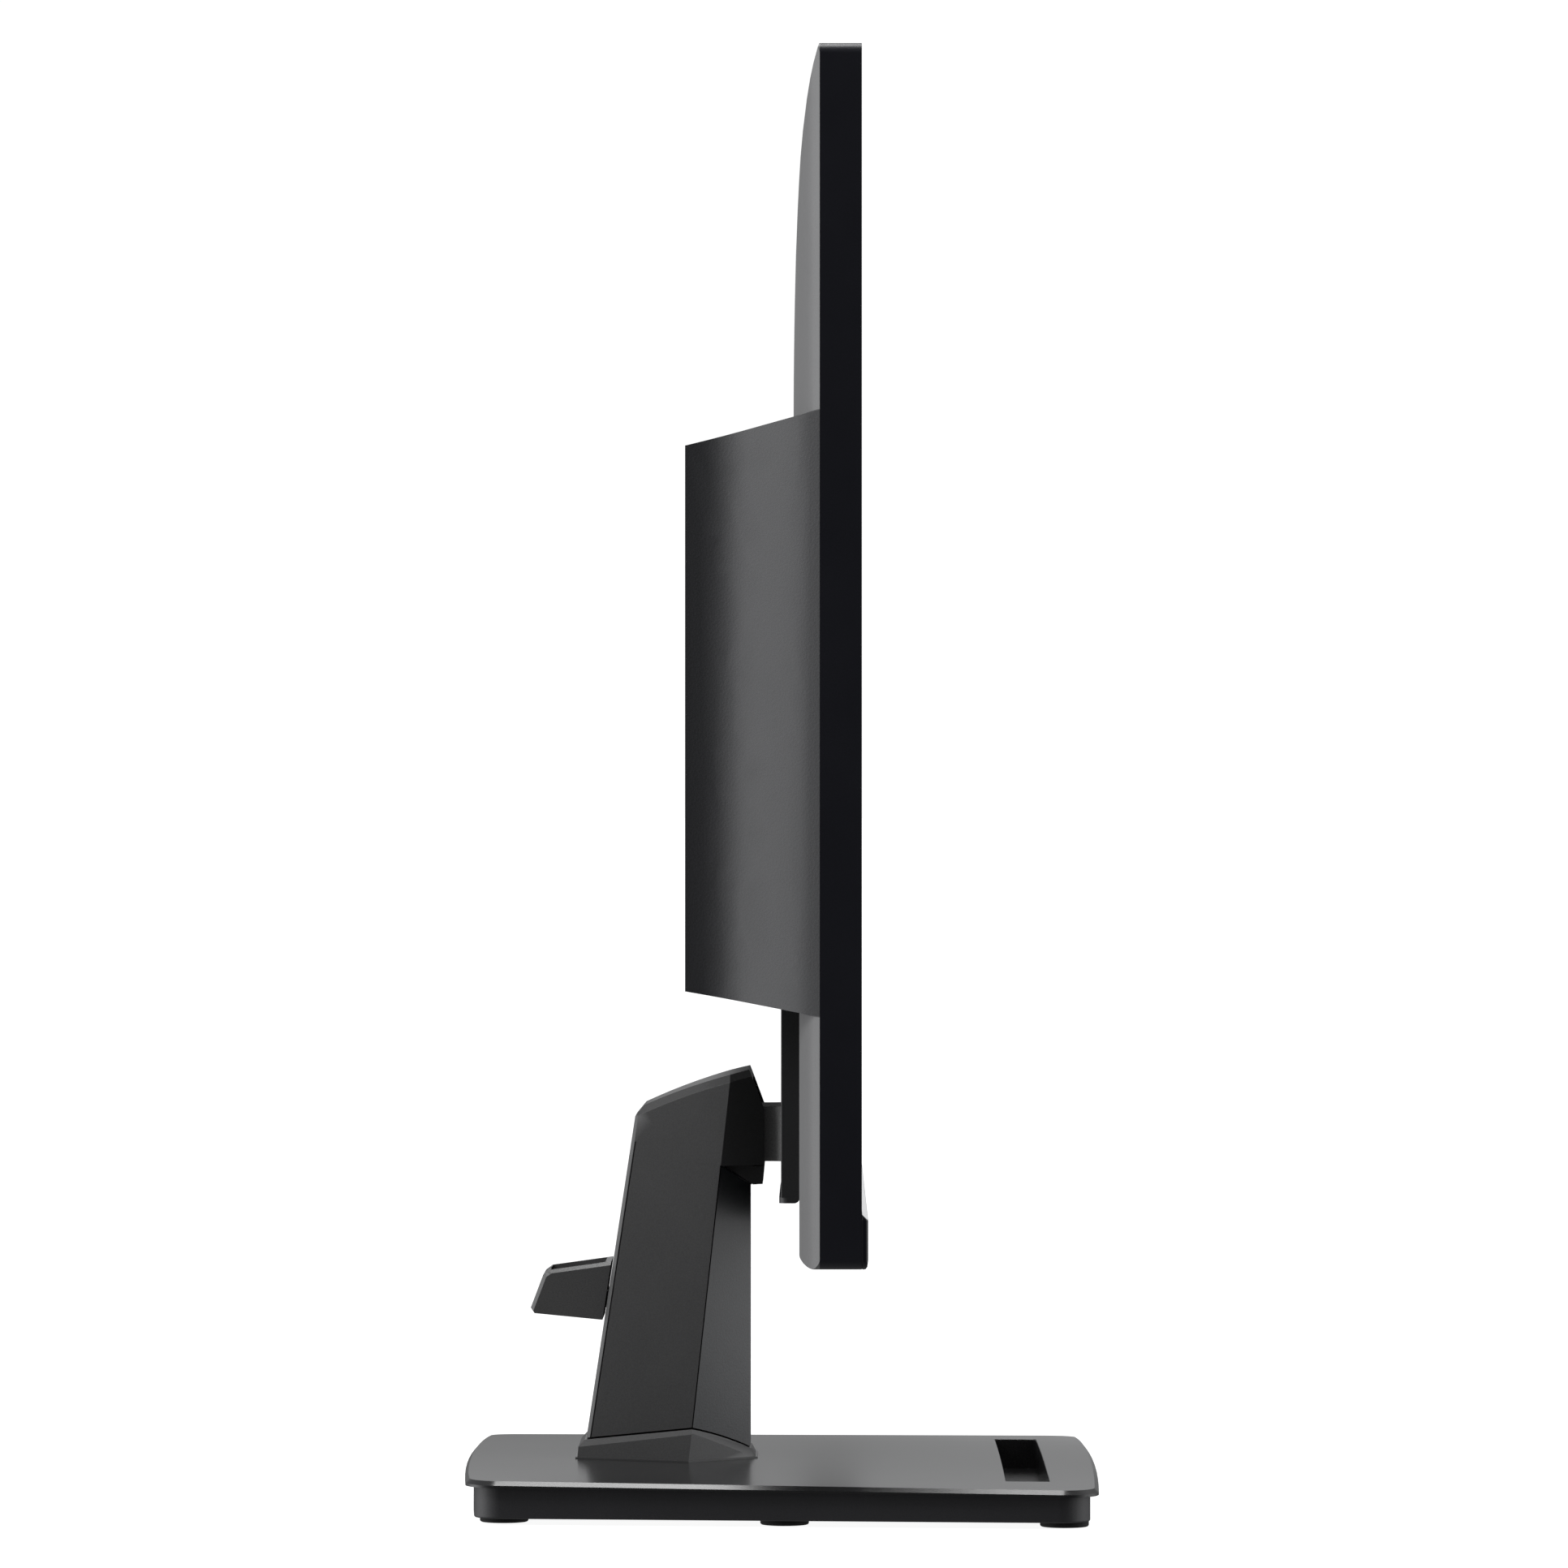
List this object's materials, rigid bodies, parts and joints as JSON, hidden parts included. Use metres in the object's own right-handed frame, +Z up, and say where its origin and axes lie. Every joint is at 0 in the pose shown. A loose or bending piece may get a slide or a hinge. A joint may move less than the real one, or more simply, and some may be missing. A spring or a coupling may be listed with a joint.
{
  "type": "computer monitor",
  "caption": "Flat computer monitor with thin bezels and a shallow full-width rear housing, tilting on a faceted fixed neck with a cable clip, over a flat base with a phone slot.",
  "frame": {"origin": "centre of the base's footprint, on the surface the rubber feet stand on", "axes": "+Z up; the screen faces -Y; +X runs along the screen's width, to the right as seen by a person looking at the screen"},
  "size_m": [0.613, 0.206, 0.4562],
  "materials": {
    "frame_plastic": "fine matte texture, near-black blue-grey",
    "chin_plastic": "fine matte texture, near-black",
    "back_plastic": "fine matte texture, dark grey",
    "stand_plastic": "fine matte texture, dark grey",
    "black_plastic": "matte, black",
    "base_plastic": "satin fine texture, dark grey",
    "pan_plastic": "matte, dark grey",
    "foot_rubber": "matte, black",
    "key_plastic": "matte, black",
    "screen_glass": "anti-glare coated, dark when off",
    "white_film": "milky diffuser film",
    "clear_acrylic": "clear acrylic sheet",
    "white_reflector": "glossy white sheet",
    "tray_metal": "pressed sheet",
    "steel": "zinc-plated sheet",
    "dark_steel": "black powder coat",
    "screw_steel": "black-oxide screws",
    "board_green": "solder-masked circuit board",
    "led_board": "white circuit strip",
    "socket_metal": "nickel-plated shell",
    "tongue_plastic": "black contact carrier",
    "pin_brass": "plated contact pins",
    "ribbon_film": "flat flexible cable",
    "lens_plastic": "frosted indicator window",
    "label_film": "blank dark label film"
  },
  "bodies": {
    "stand": {"base_cover": "base_plastic", "base_pan": "pan_plastic", "base_feet": "foot_rubber", "base_screws": "screw_steel", "base_weight": "steel", "neck_spine": "dark_steel", "neck_shell": "stand_plastic", "neck_front": "stand_plastic", "neck_collar": "stand_plastic", "cable_clip": "stand_plastic", "hinge_pin": "steel", "friction_washers": "steel", "hinge_nuts": "steel"},
    "display": {"mid_frame": "frame_plastic", "front_chin": "chin_plastic", "power_led_lens": "lens_plastic", "lcd_glass": "screen_glass", "diffuser_films": "white_film", "light_guide": "clear_acrylic", "reflector_sheet": "white_reflector", "panel_tray": "tray_metal", "led_strip": "led_board", "source_board": "board_green", "rear_cover": "back_plastic", "cover_screws": "screw_steel", "rating_label": "label_film", "mount_frame": "steel", "power_board": "board_green", "mains_inlet": "black_plastic", "inlet_pins": "pin_brass", "main_board": "board_green", "video_socket_a": "socket_metal", "video_tongue_a": "tongue_plastic", "video_socket_b": "socket_metal", "video_tongue_b": "tongue_plastic", "audio_jack": "black_plastic", "board_shield": "tray_metal", "panel_ribbon": "ribbon_film", "board_screws": "screw_steel", "speaker_left": "black_plastic", "speaker_right": "black_plastic", "key_board": "board_green", "tilt_bracket": "dark_steel", "bracket_cover": "black_plastic", "hinge_cowl": "black_plastic", "bracket_screws": "screw_steel"},
    "thumb_screw_body": {"thumb_screw": "steel"},
    "screw_ring_body": {"screw_ring": "steel"},
    "menu_button_1_body": {"menu_button_1": "key_plastic"},
    "menu_button_2_body": {"menu_button_2": "key_plastic"},
    "menu_button_3_body": {"menu_button_3": "key_plastic"},
    "menu_button_4_body": {"menu_button_4": "key_plastic"},
    "power_button_body": {"power_button": "key_plastic"}
  },
  "joints": [
    {"name": "tilt", "type": "hinge", "parent": "stand", "child": "display", "pos_m": [0, 0.014, 0.12105], "axis": [-1, 0, 0], "range_deg": [-5, 20]},
    {"name": "thumb_screw_turn", "type": "hinge", "parent": "stand", "child": "thumb_screw_body", "pos_m": [0, 0.038, 0.0055], "axis": [0, 0, 1], "continuous": true},
    {"name": "screw_ring_fold", "type": "hinge", "parent": "thumb_screw_body", "child": "screw_ring_body", "pos_m": [0, 0.038, 0.0049], "axis": [-1, 0, 0], "range_deg": [0, 95]},
    {"name": "menu_button_1_press", "type": "slide", "parent": "display", "child": "menu_button_1_body", "axis": [0, 0, 1], "range_m": [0, 0.0008], "stiffness_N_per_m": 1500},
    {"name": "menu_button_2_press", "type": "slide", "parent": "display", "child": "menu_button_2_body", "axis": [0, 0, 1], "range_m": [0, 0.0008], "stiffness_N_per_m": 1500},
    {"name": "menu_button_3_press", "type": "slide", "parent": "display", "child": "menu_button_3_body", "axis": [0, 0, 1], "range_m": [0, 0.0008], "stiffness_N_per_m": 1500},
    {"name": "menu_button_4_press", "type": "slide", "parent": "display", "child": "menu_button_4_body", "axis": [0, 0, 1], "range_m": [0, 0.0008], "stiffness_N_per_m": 1500},
    {"name": "power_button_press", "type": "slide", "parent": "display", "child": "power_button_body", "axis": [0, 0, 1], "range_m": [0, 0.0008], "stiffness_N_per_m": 1500}
  ]
}
